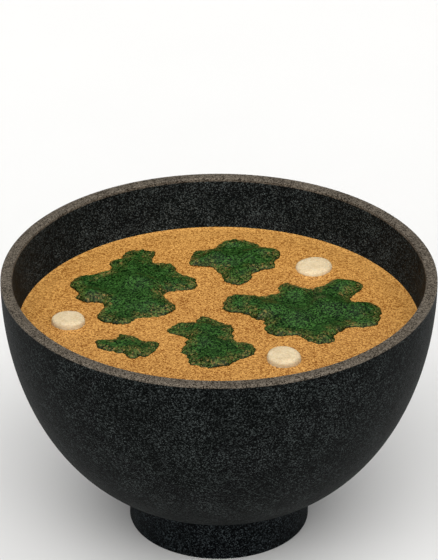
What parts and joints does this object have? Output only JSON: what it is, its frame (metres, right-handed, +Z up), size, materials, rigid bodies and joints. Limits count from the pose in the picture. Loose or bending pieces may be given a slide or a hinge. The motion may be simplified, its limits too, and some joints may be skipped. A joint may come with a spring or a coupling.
{
  "type": "bowl of miso soup",
  "caption": "Round footed bowl, matt black with a grey lip, holding miso soup with loose wakame leaves and small pale rounds of tofu on its level surface.",
  "frame": {"origin": "centre of the foot's underside, on the surface that the bowl stands on", "axes": "+Z up out of the bowl, -Y towards the person eating, +X to their right"},
  "size_m": [0.115, 0.115, 0.0731],
  "materials": {
    "bowl": "matt black lacquer with a fine grey speckle, bare warm grey on the lip",
    "broth": "cloudy golden brown miso broth with fine grains, wet",
    "wakame": "deep green seaweed, wet, mottled with olive at the edges",
    "tofu": "creamy white, soft and finely pored, moist"
  },
  "bodies": {
    "root": {"bowl": "bowl", "broth": "broth", "wakame_left": "wakame", "wakame_back": "wakame", "wakame_right": "wakame", "wakame_front": "wakame", "wakame_small": "wakame", "tofu_back": "tofu", "tofu_left": "tofu", "tofu_front": "tofu"}
  },
  "joints": []
}
